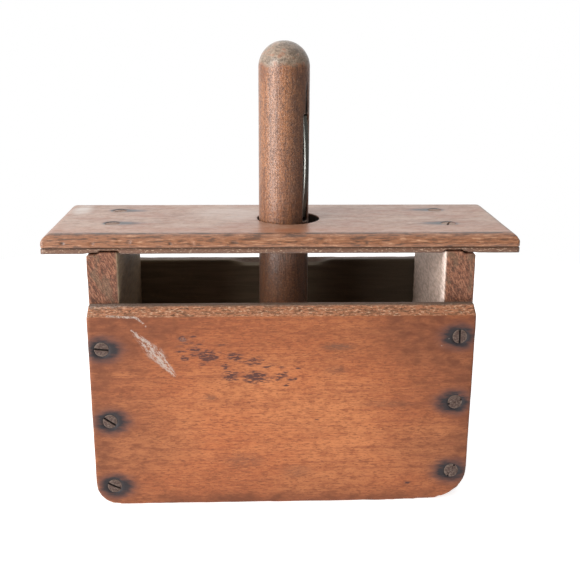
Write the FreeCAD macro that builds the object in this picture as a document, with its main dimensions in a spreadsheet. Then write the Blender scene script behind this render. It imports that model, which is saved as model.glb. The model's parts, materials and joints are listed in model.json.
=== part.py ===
import FreeCAD, Part
import math
import os
import re
import Sketcher
from FreeCAD import Placement, Rotation, Vector

# Box-press butter mold for a two-pound block.
#
# A bottomless wooden box stands on the table.  Its two end boards carry a
# moulded top plate, and two lower panels close the front and the back, so that
# a finger's height stays open between the panels and the plate.  A round rod
# slides through a hole in the plate and carries the follower board, which
# presses the butter and pushes it out.  A bowed leaf spring in a slot of the
# rod rubs in the hole and holds the follower at the height where it is left.
#
# Frame: +Z up, +X along the length, -Y is the front.  The origin is on the
# surface that the box stands on, in the middle of the box.
# Sizes are in millimetres and degrees.

DIMENSIONS = (
    # box
    ("box_length", 216.0),
    ("inner_depth", 94.5),
    ("end_thickness", 17.5),
    ("end_height", 147.8),
    ("end_corner_radius", 8.0),
    ("tongue_width", 10.5),
    ("tongue_height", 1.2),
    ("panel_thickness", 10.0),
    ("panel_height", 120.4),
    ("front_bevel", 5.0),
    ("back_bevel", 2.0),
    ("left_corner_radius", 13.0),
    ("right_corner_radius", 21.0),
    # top plate
    ("plate_length", 266.7),
    ("plate_depth", 90.5),
    ("plate_thickness", 10.8),
    ("lip_thickness", 2.6),
    ("quirk_depth", 1.1),
    ("quirk_height", 0.9),
    ("bead_inset", 0.3),
    ("bead_width", 5.8),
    ("bead_radius", 5.9),
    ("rod_hole_diameter", 37.2),
    ("rod_hole_offset", 4.75),
    # plunger rod
    ("rod_diameter", 29.7),
    ("rod_length", 189.1),
    ("rod_offset", 2.0),
    ("tenon_diameter", 19.0),
    ("tenon_length", 9.9),
    # follower board
    ("follower_thickness", 14.0),
    ("follower_end_gap", 0.6),
    ("follower_side_gap", 0.5),
    ("follower_bevel", 1.2),
    ("socket_diameter", 19.1),
    ("socket_depth", 10.0),
    ("score_width", 2.4),
    ("score_depth", 1.2),
    ("fill_depth", 58.0),
    # slot in the rod, measured up from the follower
    ("slot_bottom", 86.0),
    ("slot_top", 148.5),
    ("slot_width", 5.5),
    ("slot_floor", 10.4),
    ("kerf_top", 166.0),
    ("kerf_width", 2.0),
    ("kerf_depth", 2.8),
    # leaf spring, its radii measured from the rod's axis
    ("leaf_width", 4.5),
    ("leaf_thickness", 0.9),
    ("leaf_bottom", 88.0),
    ("leaf_top", 147.5),
    ("leaf_bottom_radius", 12.9),
    ("leaf_top_radius", 13.7),
    ("leaf_bow_radius", 210.0),
    ("leaf_foot_gap", 0.02),
    # number 8 wood screws and their holes
    ("screw_length", 31.75),
    ("shank_diameter", 4.2),
    ("shank_length", 11.0),
    ("core_diameter", 3.0),
    ("thread_pitch", 1.7),
    ("point_length", 5.0),
    ("head_diameter", 8.4),
    ("head_rim", 0.25),
    ("head_cone", 2.42),
    ("head_angle", 82.0),
    ("head_sink", 0.2),
    ("driver_slot_width", 1.1),
    ("driver_slot_depth", 1.1),
    ("hole_diameter", 4.4),
    ("countersink_diameter", 9.2),
    ("pilot_margin", 1.0),
)

# Screws of the panels: side of the box, inset from the end, height above the
# bottom, turn of the driver slot.  They were driven by hand, so none agree.
FRONT_SCREWS = (
    ("left_low", "-", 10.6, 11.8, -25.0),
    ("left_middle", "-", 9.9, 52.6, -35.0),
    ("left_high", "-", 7.4, 96.2, -6.0),
    ("right_low", "+", 8.9, 19.0, 62.0),
    ("right_middle", "+", 9.1, 62.7, 20.0),
    ("right_high", "+", 8.6, 102.4, 91.0),
)
BACK_SCREWS = (
    ("left_low", "-", 8.8, 16.0, 48.0),
    ("left_middle", "-", 9.4, 58.5, 12.0),
    ("left_high", "-", 8.5, 100.5, 75.0),
    ("right_low", "+", 9.6, 15.0, 30.0),
    ("right_middle", "+", 8.7, 56.0, 84.0),
    ("right_high", "+", 9.2, 101.5, 8.0),
)
# Screws of the plate: side of the box, inset from the end, distance behind the
# middle, turn of the driver slot.
PLATE_SCREWS = (
    ("left_front", "-", 10.2, -14.5, 15.0),
    ("left_back", "-", 9.2, 22.0, 40.0),
    ("right_front", "+", 9.8, -16.5, 70.0),
    ("right_back", "+", 10.4, 22.5, 5.0),
)
SCREW_GROUPS = (
    ("front", FRONT_SCREWS, "height"),
    ("back", BACK_SCREWS, "height"),
    ("plate", PLATE_SCREWS, "reach"),
)
THREAD_TURNS = 9

# The slot of the rod looks half-way between the front and the right-hand end.
SLOT_TURN = Rotation(Vector(0, 0, 1), -30.0)

# Outward directions of the screw heads.
HEAD_UP = Rotation()
HEAD_DOWN = Rotation(Vector(1, 0, 0), 180.0)
HEAD_TO_FRONT = Rotation(Vector(1, 0, 0), 90.0)
HEAD_TO_BACK = Rotation(Vector(1, 0, 0), -90.0)

# Lengths that several pieces share.
OUTER_FACE = "(inner_depth / 2 + panel_thickness)"
END_INNER_FACE = "(box_length / 2 - end_thickness)"
TONGUE_SHOULDER = "(box_length / 2 - end_thickness + tongue_width)"
FOLLOWER_TOP = "fill_depth + follower_thickness"

doc = FreeCAD.newDocument("butter_mold")
sheet = doc.addObject("Spreadsheet::Sheet", "Dims")


def fill_sheet():
    """Gives every driving dimension a row and an alias of its own."""
    rows = list(DIMENSIONS)
    for group, screws, place in SCREW_GROUPS:
        for name, side, inset, distance, turn in screws:
            rows.append((f"{group}_{name}_inset", inset))
            rows.append((f"{group}_{name}_{place}", distance))
    for number, (alias, amount) in enumerate(rows, start=1):
        sheet.set(f"A{number}", alias.replace("_", " "))
        sheet.set(f"B{number}", str(amount))
        sheet.setAlias(f"B{number}", alias)
    doc.recompute()


def dim(expression):
    """Puts the sheet's name before every alias in an expression."""
    return re.sub(r"[a-z][a-z_]+", lambda alias: f"Dims.{alias.group()}", expression)


def value(expression):
    return float(sheet.evalExpression(dim(expression)))


def on_side(side, expression):
    """The same length towards the left (-) or the right (+)."""
    return f"{side}1 * ({expression})"


# --- sketches and features ---------------------------------------------------


def new_body(label, x="0", y="0", z="0", rotation=Rotation()):
    body = doc.addObject("PartDesign::Body", label)
    body.Label = label
    body.Placement = Placement(Vector(), rotation)
    for axis, expression in (("x", x), ("y", y), ("z", z)):
        body.setExpression(f"Placement.Base.{axis}", dim(expression))
    return body


def new_sketch(body, role, name, offset="0"):
    """A sketch on one of the body's own origin planes, moved along its normal."""
    sketch = body.newObject("Sketcher::SketchObject", f"{body.Label}_{name}")
    plane = next(item for item in body.Origin.OriginFeatures if item.Role == role)
    sketch.AttachmentSupport = [(plane, "")]
    sketch.MapMode = "FlatFace"
    sketch.setExpression("AttachmentOffset.Base.z", dim(offset))
    return sketch


def bind(sketch, kind, *where, expression):
    """Adds a dimension to a sketch and ties it to the sheet."""
    constraint = Sketcher.Constraint(kind, *where, value(expression))
    number = sketch.addConstraint(constraint)
    sketch.setExpression(f"Constraints[{number}]", dim(expression))


def arc_between(start, end, radius, towards):
    """The arc from start to end that bulges to the same side as towards."""
    middle = (start + end) / 2
    half = (end - start).Length / 2
    bulge = (end - start).cross(Vector(0, 0, 1)).normalize()
    if bulge.dot(towards - middle) < 0:
        bulge = -bulge
    rise = radius - math.sqrt(max(radius**2 - half**2, 0.0))
    return Part.Arc(start, middle + bulge * rise, end)


def end_at(sketch, edge, place):
    """Number of the edge's end that lies at a place: 1 start, 2 finish."""
    return 1 if (sketch.getPoint(edge, 1) - place).Length < 1e-4 else 2


def outline(sketch, points):
    """A closed outline through points whose coordinates are expressions.

    A point is (x, y).  Where an arc starts it is (x, y, radius, (u, v)), and
    the arc bulges towards the place (u, v).
    """
    first = sketch.GeometryCount
    places = [Vector(value(point[0]), value(point[1]), 0) for point in points]
    ends = places[1:] + places[:1]
    for point, start, end in zip(points, places, ends):
        if len(point) == 2:
            sketch.addGeometry(Part.LineSegment(start, end))
        else:
            towards = Vector(value(point[3][0]), value(point[3][1]), 0)
            sketch.addGeometry(arc_between(start, end, value(point[2]), towards))
    for index, point in enumerate(points):
        edge = first + index
        following = first + (index + 1) % len(points)
        joint = ends[index]
        meeting = (edge, end_at(sketch, edge, joint))
        meeting += (following, end_at(sketch, following, joint))
        sketch.addConstraint(Sketcher.Constraint("Coincident", *meeting))
    for index, point in enumerate(points):
        edge = first + index
        corner = end_at(sketch, edge, places[index])
        bind(sketch, "DistanceX", -1, 1, edge, corner, expression=point[0])
        bind(sketch, "DistanceY", -1, 1, edge, corner, expression=point[1])
        if len(point) > 2:
            bind(sketch, "Radius", edge, expression=point[2])


def rectangle(sketch, x0, y0, x1, y1):
    outline(sketch, ((x0, y0), (x1, y0), (x1, y1), (x0, y1)))


def circle(sketch, x, y, diameter):
    centre = Vector(value(x), value(y), 0)
    shape = Part.Circle(centre, Vector(0, 0, 1), value(diameter) / 2)
    number = sketch.addGeometry(shape)
    bind(sketch, "DistanceX", -1, 1, number, 3, expression=x)
    bind(sketch, "DistanceY", -1, 1, number, 3, expression=y)
    bind(sketch, "Diameter", number, expression=diameter)


def pad(body, sketch, length, symmetric=False, backwards=False):
    feature = body.newObject("PartDesign::Pad", f"{sketch.Name}_pad")
    feature.Profile = sketch
    feature.setExpression("Length", dim(length))
    feature.SideType = "Symmetric" if symmetric else "One side"
    feature.Reversed = backwards


def revolve(body, sketch):
    feature = body.newObject("PartDesign::Revolution", f"{sketch.Name}_turned")
    feature.Profile = sketch
    feature.ReferenceAxis = (sketch, ["V_Axis"])
    feature.Angle = 360.0


def check_taken_away(body, before, feature):
    doc.recompute()
    if body.Shape.Volume > before - 0.01:
        raise RuntimeError(f"{feature.Name} takes nothing away")


def cut(body, sketch, depth=None, symmetric=False, backwards=False):
    """A pocket, to a depth or all the way through."""
    doc.recompute()
    before = body.Shape.Volume
    feature = body.newObject("PartDesign::Pocket", f"{sketch.Name}_cut")
    feature.Profile = sketch
    feature.SideType = "Symmetric" if symmetric else "One side"
    feature.Reversed = backwards
    if depth is None:
        feature.Type = "ThroughAll"
    else:
        feature.setExpression("Length", dim(depth))
    check_taken_away(body, before, feature)


def countersunk_holes(body, sketch, backwards=False):
    """Through holes for the screws' shanks, countersunk for their heads."""
    doc.recompute()
    before = body.Shape.Volume
    feature = body.newObject("PartDesign::Hole", f"{sketch.Name}_holes")
    feature.Profile = sketch
    feature.DepthType = "ThroughAll"
    feature.Reversed = backwards
    feature.HoleCutType = "Countersink"
    feature.HoleCutCustomValues = True
    feature.setExpression("Diameter", dim("hole_diameter"))
    feature.setExpression("HoleCutDiameter", dim("countersink_diameter"))
    feature.setExpression("HoleCutCountersinkAngle", dim("head_angle"))
    check_taken_away(body, before, feature)


# --- wooden pieces -----------------------------------------------------------


def end_board(label, side):
    """An end board stands on the table, and its tongue enters the plate."""
    body = new_body(label)
    outer = on_side(side, "box_length / 2")
    inner = on_side(side, END_INNER_FACE)
    shoulder = on_side(side, TONGUE_SHOULDER)
    rounding = on_side(side, "box_length / 2 - end_corner_radius")
    tongue_top = "end_height + tongue_height"
    sketch = new_sketch(body, "XZ_Plane", "outline")
    outline(sketch, (
        (inner, "0"),
        (inner, tongue_top),
        (shoulder, tongue_top),
        (shoulder, "end_height"),
        (outer, "end_height"),
        (outer, "end_corner_radius", "end_corner_radius", (outer, "0")),
        (rounding, "0"),
    ))
    pad(body, sketch, "inner_depth", symmetric=True)

    # the XZ plane looks to the front, so the front face has the plus offset
    reach = "screw_length - panel_thickness + pilot_margin"
    for group, screws, face, backwards in (
        ("front", FRONT_SCREWS, "inner_depth / 2", False),
        ("back", BACK_SCREWS, "-inner_depth / 2", True),
    ):
        sketch = new_sketch(body, "XZ_Plane", f"{group}_pilots", face)
        for name, screw_side, *rest in screws:
            if screw_side == side:
                x = on_side(side, f"box_length / 2 - {group}_{name}_inset")
                circle(sketch, x, f"{group}_{name}_height", "hole_diameter")
        cut(body, sketch, reach, backwards=backwards)

    sketch = new_sketch(body, "XY_Plane", "plate_pilots", tongue_top)
    for name, screw_side, *rest in PLATE_SCREWS:
        if screw_side == side:
            x = on_side(side, f"box_length / 2 - plate_{name}_inset")
            circle(sketch, x, f"plate_{name}_reach", "hole_diameter")
    cut(body, sketch, "screw_length - plate_thickness + tongue_height + pilot_margin")
    return body


def panel(label, group, screws, facing):
    """A low panel with worn-off bottom corners and a bevelled top edge.

    Its frame lies on its outer face; facing is -1 for the front, 1 for the back.
    """
    body = new_body(label, y=f"{facing} * {OUTER_FACE}")
    left = "-box_length / 2"
    right = "box_length / 2"
    sketch = new_sketch(body, "XZ_Plane", "outline")
    outline(sketch, (
        (left, "panel_height"),
        (left, "left_corner_radius", "left_corner_radius", (left, "0")),
        ("left_corner_radius - box_length / 2", "0"),
        ("box_length / 2 - right_corner_radius", "0", "right_corner_radius", (right, "0")),
        (right, "right_corner_radius"),
        (right, "panel_height"),
    ))
    pad(body, sketch, "panel_thickness", backwards=facing < 0)

    sketch = new_sketch(body, "YZ_Plane", "bevel")
    outline(sketch, (
        ("0", f"panel_height - {group}_bevel"),
        ("0", "panel_height"),
        (f"{-facing} * {group}_bevel", "panel_height"),
    ))
    cut(body, sketch, symmetric=True)

    sketch = new_sketch(body, "XZ_Plane", "screws")
    for name, side, *rest in screws:
        x = on_side(side, f"box_length / 2 - {group}_{name}_inset")
        circle(sketch, x, f"{group}_{name}_height", "hole_diameter")
    countersunk_holes(body, sketch, backwards=facing > 0)
    return body


def moulding_waste(sketch, side, width):
    """What the moulding plane takes off one edge: it leaves lip, quirk and bead."""
    half = f"{width} / 2"
    outside = on_side(side, f"{half} + bead_width")
    top = on_side(side, f"{half} - bead_width")
    above = "plate_thickness + bead_width"
    bead_foot = on_side(side, f"{half} - bead_inset")
    outline(sketch, (
        (outside, "lip_thickness"),
        (on_side(side, half), "lip_thickness"),
        (on_side(side, f"{half} - quirk_depth"), "lip_thickness + quirk_height / 2"),
        (bead_foot, "lip_thickness + quirk_height", "bead_radius", (outside, above)),
        (top, "plate_thickness"),
        (top, above),
        (outside, above),
    ))


def top_plate():
    """The plate, moulded round all four edges; its frame lies on its underside."""
    body = new_body("top_plate", z="end_height")
    half_length = "plate_length / 2"
    half_depth = "plate_depth / 2"
    sketch = new_sketch(body, "XY_Plane", "outline")
    rectangle(sketch, f"-{half_length}", f"-{half_depth}", half_length, half_depth)
    pad(body, sketch, "plate_thickness")

    for role, name, width in (
        ("XZ_Plane", "end_moulding", "plate_length"),
        ("YZ_Plane", "side_moulding", "plate_depth"),
    ):
        sketch = new_sketch(body, role, name)
        moulding_waste(sketch, "-", width)
        moulding_waste(sketch, "+", width)
        cut(body, sketch, symmetric=True)

    # dadoes for the tongues of the end boards
    sketch = new_sketch(body, "XZ_Plane", "dadoes")
    for side in ("-", "+"):
        inner = on_side(side, END_INNER_FACE)
        rectangle(sketch, inner, "-1", on_side(side, TONGUE_SHOULDER), "tongue_height")
    cut(body, sketch, symmetric=True)

    sketch = new_sketch(body, "XY_Plane", "rod_hole")
    circle(sketch, "rod_hole_offset", "0", "rod_hole_diameter")
    cut(body, sketch, backwards=True)

    sketch = new_sketch(body, "XY_Plane", "screws", "plate_thickness")
    for name, side, *rest in PLATE_SCREWS:
        x = on_side(side, f"box_length / 2 - plate_{name}_inset")
        circle(sketch, x, f"plate_{name}_reach", "hole_diameter")
    countersunk_holes(body, sketch)
    return body


def follower_board():
    """The board that presses the butter; its frame lies on its underside."""
    body = new_body("follower_board", z="fill_depth")
    half_length = f"({END_INNER_FACE} - follower_end_gap)"
    half_depth = "(inner_depth / 2 - follower_side_gap)"
    sketch = new_sketch(body, "XY_Plane", "outline")
    rectangle(sketch, f"-{half_length}", f"-{half_depth}", half_length, half_depth)
    pad(body, sketch, "follower_thickness")

    sketch = new_sketch(body, "XY_Plane", "socket", "follower_thickness")
    circle(sketch, "rod_offset", "0", "socket_diameter")
    cut(body, sketch, "socket_depth")

    for role, name, half in (
        ("YZ_Plane", "long_bevels", half_depth),
        ("XZ_Plane", "end_bevels", half_length),
    ):
        sketch = new_sketch(body, role, name)
        for side in ("-", "+"):
            outline(sketch, (
                (on_side(side, half), "follower_thickness - follower_bevel"),
                (on_side(side, half), "follower_thickness"),
                (on_side(side, f"{half} - follower_bevel"), "follower_thickness"),
            ))
        cut(body, sketch, symmetric=True)

    # crossing score lines print the marks for cutting the block in quarters
    for role, name in (("YZ_Plane", "long_score"), ("XZ_Plane", "cross_score")):
        sketch = new_sketch(body, role, name)
        outline(sketch, (
            ("-score_width / 2", "0"),
            ("score_width / 2", "0"),
            ("0", "score_depth"),
        ))
        cut(body, sketch, symmetric=True)

    sketch = new_sketch(body, "XY_Plane", "screw")
    circle(sketch, "rod_offset", "0", "hole_diameter")
    countersunk_holes(body, sketch, backwards=True)
    return body


def plunger_rod():
    """The rod: a tenon below its shoulder, a half-round top, a slot for the leaf.

    Its frame stands on the follower's upper face, with +X out of the slot.
    """
    body = new_body("plunger_rod", "rod_offset", "0", FOLLOWER_TOP, SLOT_TURN)
    radius = "rod_diameter / 2"
    sketch = new_sketch(body, "XZ_Plane", "half_section")
    outline(sketch, (
        ("0", "-tenon_length"),
        ("tenon_diameter / 2", "-tenon_length"),
        ("tenon_diameter / 2", "0"),
        (radius, "0"),
        (radius, f"rod_length - {radius}", radius, (radius, "rod_length")),
        ("0", "rod_length"),
    ))
    revolve(body, sketch)

    sketch = new_sketch(body, "YZ_Plane", "leaf_slot", "slot_floor")
    rectangle(sketch, "-slot_width / 2", "slot_bottom", "slot_width / 2", "slot_top")
    cut(body, sketch, backwards=True)

    # the saw kerf that the slot was started from runs out of its upper end
    sketch = new_sketch(body, "XZ_Plane", "kerf")
    outside = f"{radius} + kerf_depth"
    outline(sketch, (
        (f"{radius} - kerf_depth", "slot_top - kerf_width"),
        (outside, "slot_top - kerf_width"),
        (outside, "kerf_top"),
        (radius, "kerf_top"),
    ))
    cut(body, sketch, "kerf_width", symmetric=True)

    sketch = new_sketch(body, "XY_Plane", "screw_pilot", "-tenon_length")
    circle(sketch, "0", "0", "hole_diameter")
    cut(body, sketch, "screw_length + pilot_margin", backwards=True)
    return body


# --- metal pieces ------------------------------------------------------------


def bow_spring():
    """A leaf that bows out of the slot and stands on the slot's floor."""
    body = new_body("bow_spring", "rod_offset", "0", FOLLOWER_TOP, SLOT_TURN)
    foot = "slot_floor + leaf_foot_gap"
    outwards = ("rod_diameter", "(leaf_top + leaf_bottom) / 2")
    inner_bottom = "leaf_bottom + leaf_thickness"
    inner_top = "leaf_top - leaf_thickness"
    inner_bow = "leaf_bow_radius - leaf_thickness"
    sketch = new_sketch(body, "XZ_Plane", "side_view")
    outline(sketch, (
        (foot, "leaf_top"),
        ("leaf_top_radius", "leaf_top", "leaf_bow_radius", outwards),
        ("leaf_bottom_radius", "leaf_bottom"),
        (foot, "leaf_bottom"),
        (foot, inner_bottom),
        ("leaf_bottom_radius - leaf_thickness", inner_bottom, inner_bow, outwards),
        ("leaf_top_radius - leaf_thickness", inner_top),
        (foot, inner_top),
    ))
    pad(body, sketch, "leaf_width", symmetric=True)
    return body


def wood_screw(label, x, y, z, facing, turn):
    """A slotted flat-head screw; its frame lies on the head, +Z outwards."""
    body = new_body(label, x, y, z, facing * Rotation(Vector(0, 0, 1), turn))
    core = "core_diameter / 2"
    shank = "shank_diameter / 2"
    points = [
        ("0", "0"),
        ("head_diameter / 2", "0"),
        ("head_diameter / 2", "-head_rim"),
        (shank, "-head_rim - head_cone"),
        (shank, "-shank_length"),
    ]
    for number in range(THREAD_TURNS):
        points.append((core, f"-shank_length - thread_pitch * {number + 0.5}"))
        points.append((shank, f"-shank_length - thread_pitch * {number + 1}"))
    points.append((core, "point_length - screw_length"))
    points.append(("0", "-screw_length"))
    sketch = new_sketch(body, "XZ_Plane", "half_section")
    outline(sketch, points)
    revolve(body, sketch)

    sketch = new_sketch(body, "XY_Plane", "driver_slot")
    half_width = "driver_slot_width / 2"
    rectangle(sketch, "-head_diameter", f"-{half_width}", "head_diameter", half_width)
    cut(body, sketch, "driver_slot_depth")
    return body


def screws():
    """The sixteen screws of the box and the one that holds the rod."""
    pieces = []
    sunk_face = "(inner_depth / 2 + panel_thickness - head_sink)"
    for group, places, y, facing in (
        ("front", FRONT_SCREWS, f"-{sunk_face}", HEAD_TO_FRONT),
        ("back", BACK_SCREWS, sunk_face, HEAD_TO_BACK),
    ):
        for name, side, inset, height, turn in places:
            x = on_side(side, f"box_length / 2 - {group}_{name}_inset")
            z = f"{group}_{name}_height"
            pieces.append(wood_screw(f"{group}_screw_{name}", x, y, z, facing, turn))
    for name, side, inset, reach, turn in PLATE_SCREWS:
        x = on_side(side, f"box_length / 2 - plate_{name}_inset")
        z = "end_height + plate_thickness - head_sink"
        label = f"plate_screw_{name}"
        pieces.append(wood_screw(label, x, f"plate_{name}_reach", z, HEAD_UP, turn))
    z = "fill_depth + head_sink"
    pieces.append(wood_screw("follower_screw", "rod_offset", "0", z, HEAD_DOWN, 20.0))
    return pieces


def check_document():
    for item in doc.Objects:
        if "Invalid" in item.State or "Error" in item.State:
            raise RuntimeError(f"{item.Label} failed: {item.State}")


def write_steps(pieces):
    os.makedirs("parts", exist_ok=True)
    for piece in pieces:
        if piece.Shape.isNull() or not piece.Shape.isValid():
            raise RuntimeError(f"{piece.Label} has no valid shape")
    for piece in pieces:
        piece.Shape.exportStep(f"parts/{piece.Label}.step")


fill_sheet()
pieces = [
    end_board("left_end_board", "-"),
    end_board("right_end_board", "+"),
    panel("front_panel", "front", FRONT_SCREWS, -1),
    panel("back_panel", "back", BACK_SCREWS, 1),
    top_plate(),
    follower_board(),
    plunger_rod(),
    bow_spring(),
    *screws(),
]
doc.recompute()
check_document()
write_steps(pieces)
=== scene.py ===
import itertools
import json
import math

import bmesh
import bpy
import numpy as np
from mathutils import Matrix, Vector

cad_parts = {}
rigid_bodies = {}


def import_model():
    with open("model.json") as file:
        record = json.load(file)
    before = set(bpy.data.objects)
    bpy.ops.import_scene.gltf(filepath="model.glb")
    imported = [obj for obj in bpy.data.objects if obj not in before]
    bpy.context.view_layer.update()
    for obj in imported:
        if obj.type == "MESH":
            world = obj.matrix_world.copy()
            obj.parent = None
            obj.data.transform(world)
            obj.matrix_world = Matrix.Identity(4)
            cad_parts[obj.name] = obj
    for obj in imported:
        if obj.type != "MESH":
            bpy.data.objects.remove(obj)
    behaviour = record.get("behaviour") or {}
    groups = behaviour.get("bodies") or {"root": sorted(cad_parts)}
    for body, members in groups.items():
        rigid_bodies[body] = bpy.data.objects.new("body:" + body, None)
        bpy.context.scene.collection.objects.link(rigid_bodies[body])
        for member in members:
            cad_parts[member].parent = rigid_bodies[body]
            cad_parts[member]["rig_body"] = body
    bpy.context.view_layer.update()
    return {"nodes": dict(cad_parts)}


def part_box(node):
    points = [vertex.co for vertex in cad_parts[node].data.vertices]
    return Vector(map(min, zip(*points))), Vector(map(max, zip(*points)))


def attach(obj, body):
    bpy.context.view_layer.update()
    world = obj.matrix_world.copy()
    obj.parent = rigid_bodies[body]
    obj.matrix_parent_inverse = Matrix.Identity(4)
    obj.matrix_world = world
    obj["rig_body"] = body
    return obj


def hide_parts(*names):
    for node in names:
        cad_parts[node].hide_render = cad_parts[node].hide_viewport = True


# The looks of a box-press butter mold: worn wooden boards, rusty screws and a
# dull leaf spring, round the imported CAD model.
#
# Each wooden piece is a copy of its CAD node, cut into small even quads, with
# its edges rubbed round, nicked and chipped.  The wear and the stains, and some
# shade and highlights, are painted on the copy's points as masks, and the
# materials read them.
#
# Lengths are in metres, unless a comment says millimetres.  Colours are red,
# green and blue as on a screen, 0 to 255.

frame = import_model()

MM = 0.001

# --- places ------------------------------------------------------------------

PANEL_LOW, PANEL_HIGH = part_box("front_panel")
BACK_LOW, BACK_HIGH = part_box("back_panel")
PLATE_LOW, PLATE_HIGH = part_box("top_plate")
ROD_LOW, ROD_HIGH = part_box("plunger_rod")
ROD_AXIS = np.array(((ROD_LOW.x + ROD_HIGH.x) / 2, (ROD_LOW.y + ROD_HIGH.y) / 2, 0.0))

# What the nodes' boxes don't tell: the front panel's bevel, the plate's hole and
# lip, and the slot in the rod with the saw kerf above it.
BEVEL = 5.0 * MM
HOLE_X = 4.75 * MM
HOLE_RADIUS = 18.6 * MM
LIP_TOP = PLATE_LOW.z + 2.6 * MM
QUIRK_MIDDLE = PLATE_LOW.z + 3.05 * MM
SLOT_BOTTOM = 158.0 * MM
SLOT_TOP = 220.5 * MM
KERF_TOP = 238.0 * MM
SLOT_ANGLE = math.radians(-30.0)
SLOT_OUTWARDS = np.array((math.cos(SLOT_ANGLE), math.sin(SLOT_ANGLE), 0.0))
SLOT_SIDEWAYS = np.array((-math.sin(SLOT_ANGLE), math.cos(SLOT_ANGLE), 0.0))

# Turn of each driver slot, counter-clockwise as its head is looked at.
SLOT_TURNS = {
    "front_screw_left_low": -25.0,
    "front_screw_left_middle": -35.0,
    "front_screw_left_high": -6.0,
    "front_screw_right_low": 62.0,
    "front_screw_right_middle": 20.0,
    "front_screw_right_high": 91.0,
    "back_screw_left_low": 48.0,
    "back_screw_left_middle": 12.0,
    "back_screw_left_high": 75.0,
    "back_screw_right_low": 30.0,
    "back_screw_right_middle": 84.0,
    "back_screw_right_high": 8.0,
    "plate_screw_left_front": 15.0,
    "plate_screw_left_back": 40.0,
    "plate_screw_right_front": 70.0,
    "plate_screw_right_back": 5.0,
    "follower_screw": 20.0,
}
# Screws whose driver slot is packed with old dirt.
PACKED_SLOTS = ("front_screw_right_low", "front_screw_right_middle")

HEADS_OUT = {
    "front": Matrix.Rotation(math.radians(90.0), 3, "X"),
    "back": Matrix.Rotation(math.radians(-90.0), 3, "X"),
    "plate": Matrix.Identity(3),
    "follower": Matrix.Rotation(math.radians(180.0), 3, "X"),
}

# Ink-dark blots of the front panel: place (x, z), radius along and across the
# grain, strength.  Millimetres.
INK_BLOTS = (
    ((-56.0, 102.5), (3.0, 2.4), 0.7),
    ((-49.0, 95.8), (4.5, 2.6), 0.8),
    ((-54.5, 91.0), (3.5, 2.6), 0.75),
    ((-42.3, 92.0), (7.0, 5.2), 1.0),
    ((-27.0, 91.5), (6.5, 3.4), 0.8),
    ((-16.5, 88.0), (6.0, 2.8), 0.85),
    ((-30.0, 80.0), (6.0, 4.4), 0.85),
    ((-15.5, 79.0), (9.5, 5.2), 1.0),
    ((-0.5, 80.0), (4.6, 2.2), 1.0),
    ((7.0, 77.8), (1.8, 1.2), 0.9),
    ((2.0, 74.3), (2.2, 1.2), 0.9),
    ((19.5, 52.4), (1.4, 0.9), 0.8),
    ((73.4, 11.5), (2.6, 1.0), 0.8),
)
# Soft brown smudges of the front panel, in the same form.
SMUDGES = (
    ((31.0, 97.0), (13.0, 3.0), 0.8),
    ((30.0, 83.0), (9.0, 4.0), 0.4),
    ((-41.0, 67.0), (5.0, 2.4), 0.7),
    ((-22.0, 27.0), (16.0, 7.0), 0.4),
    ((8.0, 20.0), (14.0, 6.0), 0.4),
    ((60.0, 62.0), (22.0, 3.5), 0.35),
)
# Small pale scuffs of the front panel, in the same form.
SCUFFS = (
    ((89.5, 97.0), (2.0, 0.8), 0.6),
    ((93.0, 101.0), (0.9, 0.7), 0.6),
    ((104.5, 34.0), (1.4, 0.9), 0.6),
    ((-55.0, 102.0), (6.0, 2.6), 0.35),
    ((-75.6, 109.8), (0.9, 0.9), 1.0),
)
# The line that the small dashes of ink follow: its ends, in millimetres.
INK_LINE = np.array(((-60.0, 100.0), (14.0, 75.0)))
INK_DASHES = 50

# Dents in the plate's front bead: x, height above the plate's foot, width and
# depth.  Millimetres.
BEAD_DENTS = (
    (-121.0, 6.0, 2.0, 0.4),
    (-62.0, 5.6, 1.6, 0.4),
    (-27.0, 6.2, 4.0, 0.5),
    (47.0, 5.6, 1.6, 0.3),
)


def head_place(node):
    """The middle of a screw's head, on its outer face."""
    low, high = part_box(node)
    outwards = HEADS_OUT[node.split("_")[0]] @ Vector((0.0, 0.0, 1.0))
    half = (high - low) / 2
    return (low + high) / 2 + Vector(a * b for a, b in zip(outwards, half))


# --- arrays ------------------------------------------------------------------


def points_of(piece):
    values = np.empty(len(piece.data.vertices) * 3, np.float32)
    piece.data.vertices.foreach_get("co", values)
    return values.reshape(-1, 3).astype(float)


def normals_of(piece):
    values = np.empty(len(piece.data.vertices) * 3, np.float32)
    piece.data.vertex_normals.foreach_get("vector", values)
    return values.reshape(-1, 3).astype(float)


def edges_of(piece):
    values = np.empty(len(piece.data.edges) * 2, np.int32)
    piece.data.edges.foreach_get("vertices", values)
    return values.reshape(-1, 2)


def move_points(piece, points):
    piece.data.vertices.foreach_set("co", points.astype(np.float32).ravel())
    piece.data.update()


def rise(values, low, high):
    """0 below low, 1 above high and a smooth rise between; falls if low > high."""
    share = np.clip((values - low) / (high - low), 0.0, 1.0)
    return share * share * (3.0 - 2.0 * share)


def band(values, middle, full, gone):
    """1 within full of the middle, and 0 farther from it than gone."""
    return rise(np.abs(values - middle), gone, full)


def lattice_noise(points, size, seed):
    """Smooth random values from -1 to 1 that change over about size metres."""
    cells = 32
    lattice = np.random.default_rng(seed).uniform(-1.0, 1.0, (cells, cells, cells))
    place = points / np.asarray(size)
    cell = np.floor(place).astype(int)
    share = place - cell
    share = share * share * (3.0 - 2.0 * share)
    total = np.zeros(len(points))
    for corner in itertools.product((0, 1), repeat=3):
        weight = np.prod(np.where(corner, share, 1.0 - share), axis=1)
        x, y, z = ((cell + corner) % cells).T
        total += weight * lattice[x, y, z]
    return total


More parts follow.
